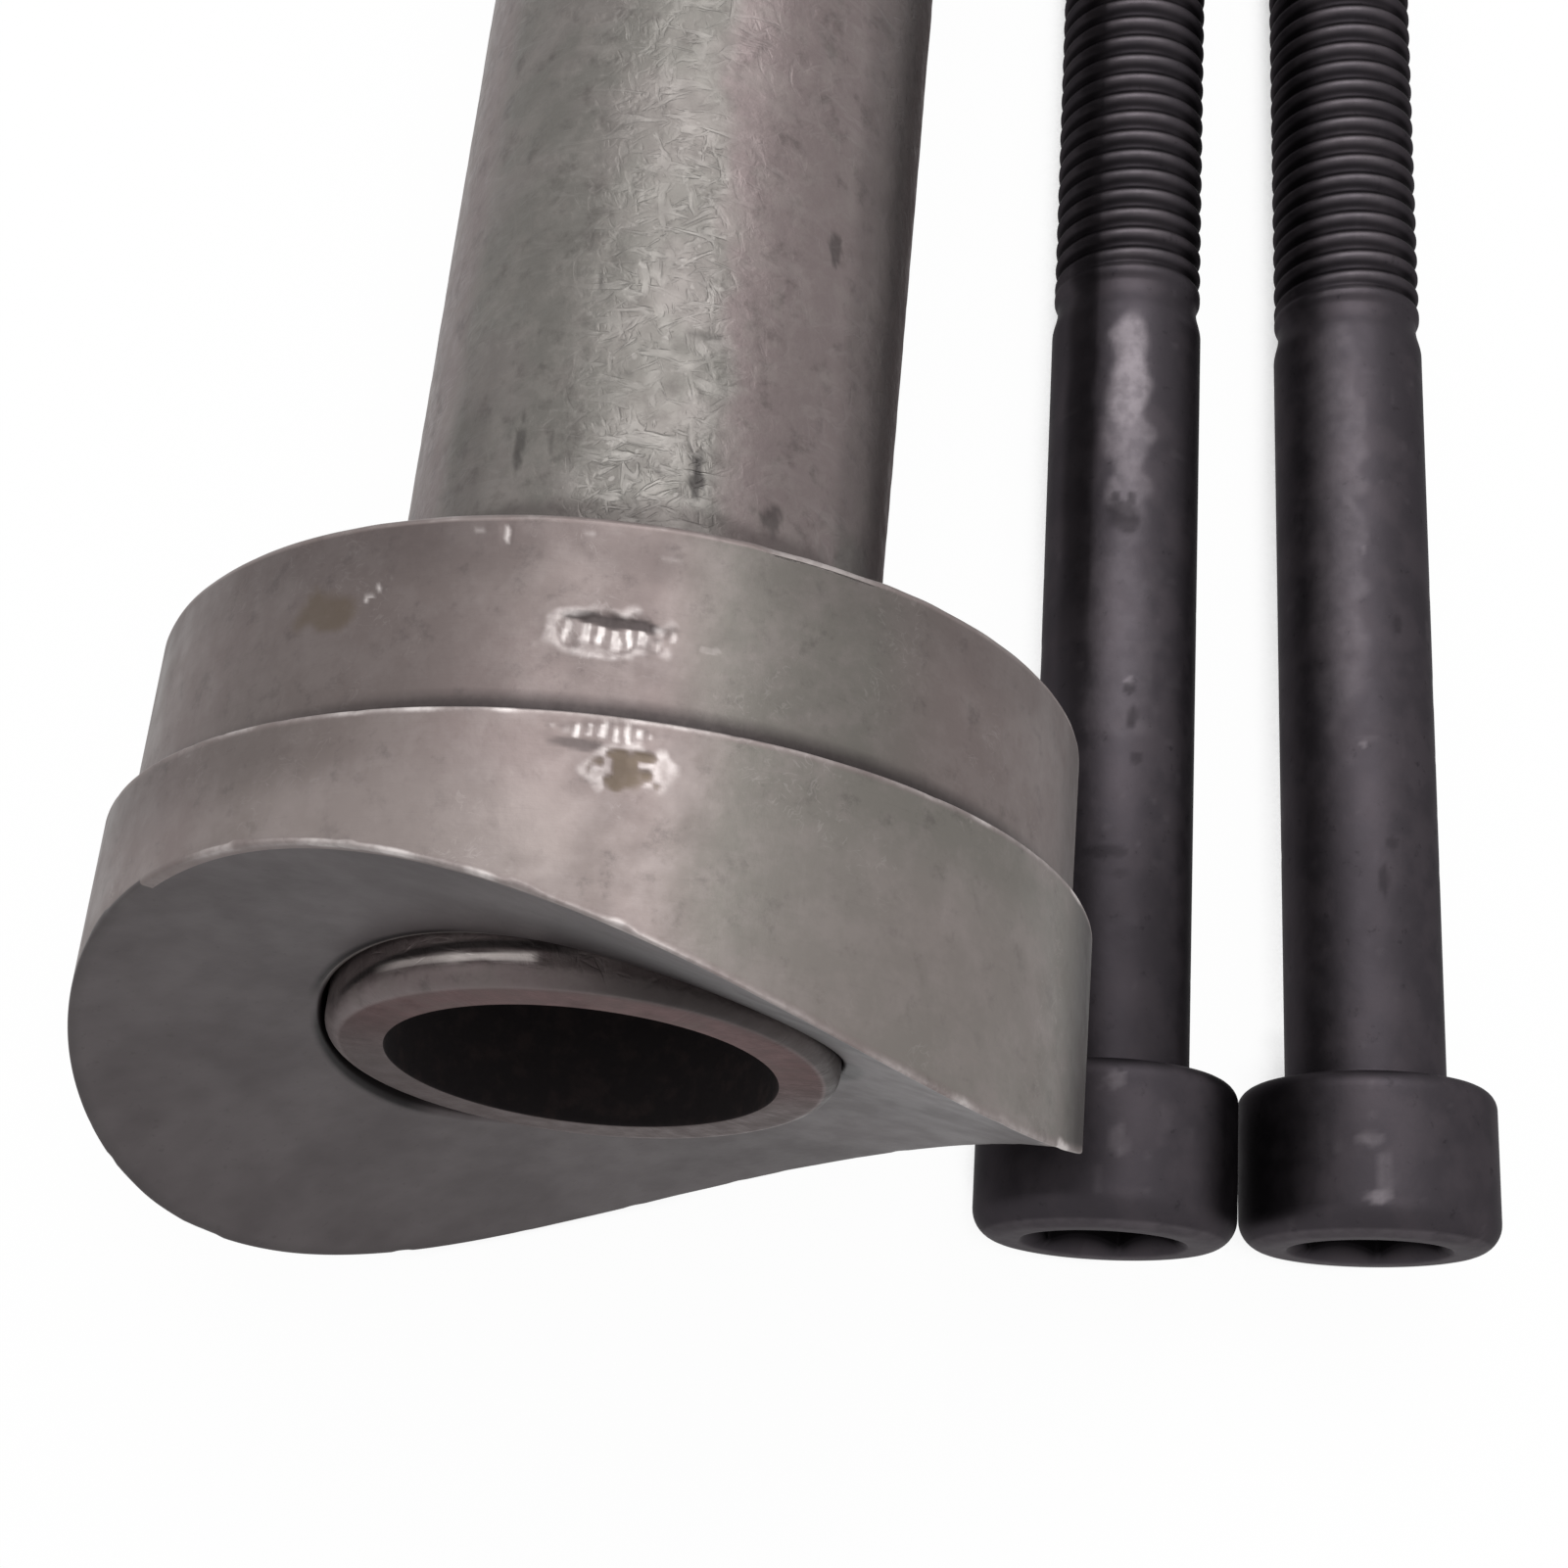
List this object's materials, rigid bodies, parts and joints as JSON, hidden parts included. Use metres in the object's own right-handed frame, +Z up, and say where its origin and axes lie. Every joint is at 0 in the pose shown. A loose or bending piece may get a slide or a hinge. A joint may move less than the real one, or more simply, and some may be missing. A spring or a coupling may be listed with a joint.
{
  "type": "wedge pin extractor",
  "caption": "Steel puller sleeve: thick tube with a capped end, stepped round foot with a saddle seat cut across its face, and long socket-head draw screws laid beside it.",
  "frame": {"origin": "on the bench, under the middle of the whole set's box, with the tool lying on its side as it rests", "axes": "+Y along the tube in plan, from the foot to the capped end; +Z up from the bench; +X towards the draw screws"},
  "size_m": [0.0858, 0.132, 0.053],
  "materials": {
    "turned_steel": "satin, turned and milled, worn",
    "pipe_steel": "satin, scuffed",
    "black_steel": "black oxide, satin"
  },
  "bodies": {
    "root": {"foot": "turned_steel", "tube": "pipe_steel", "end_cap": "pipe_steel", "draw_screw_left": "black_steel", "draw_screw_right": "black_steel"}
  },
  "joints": []
}
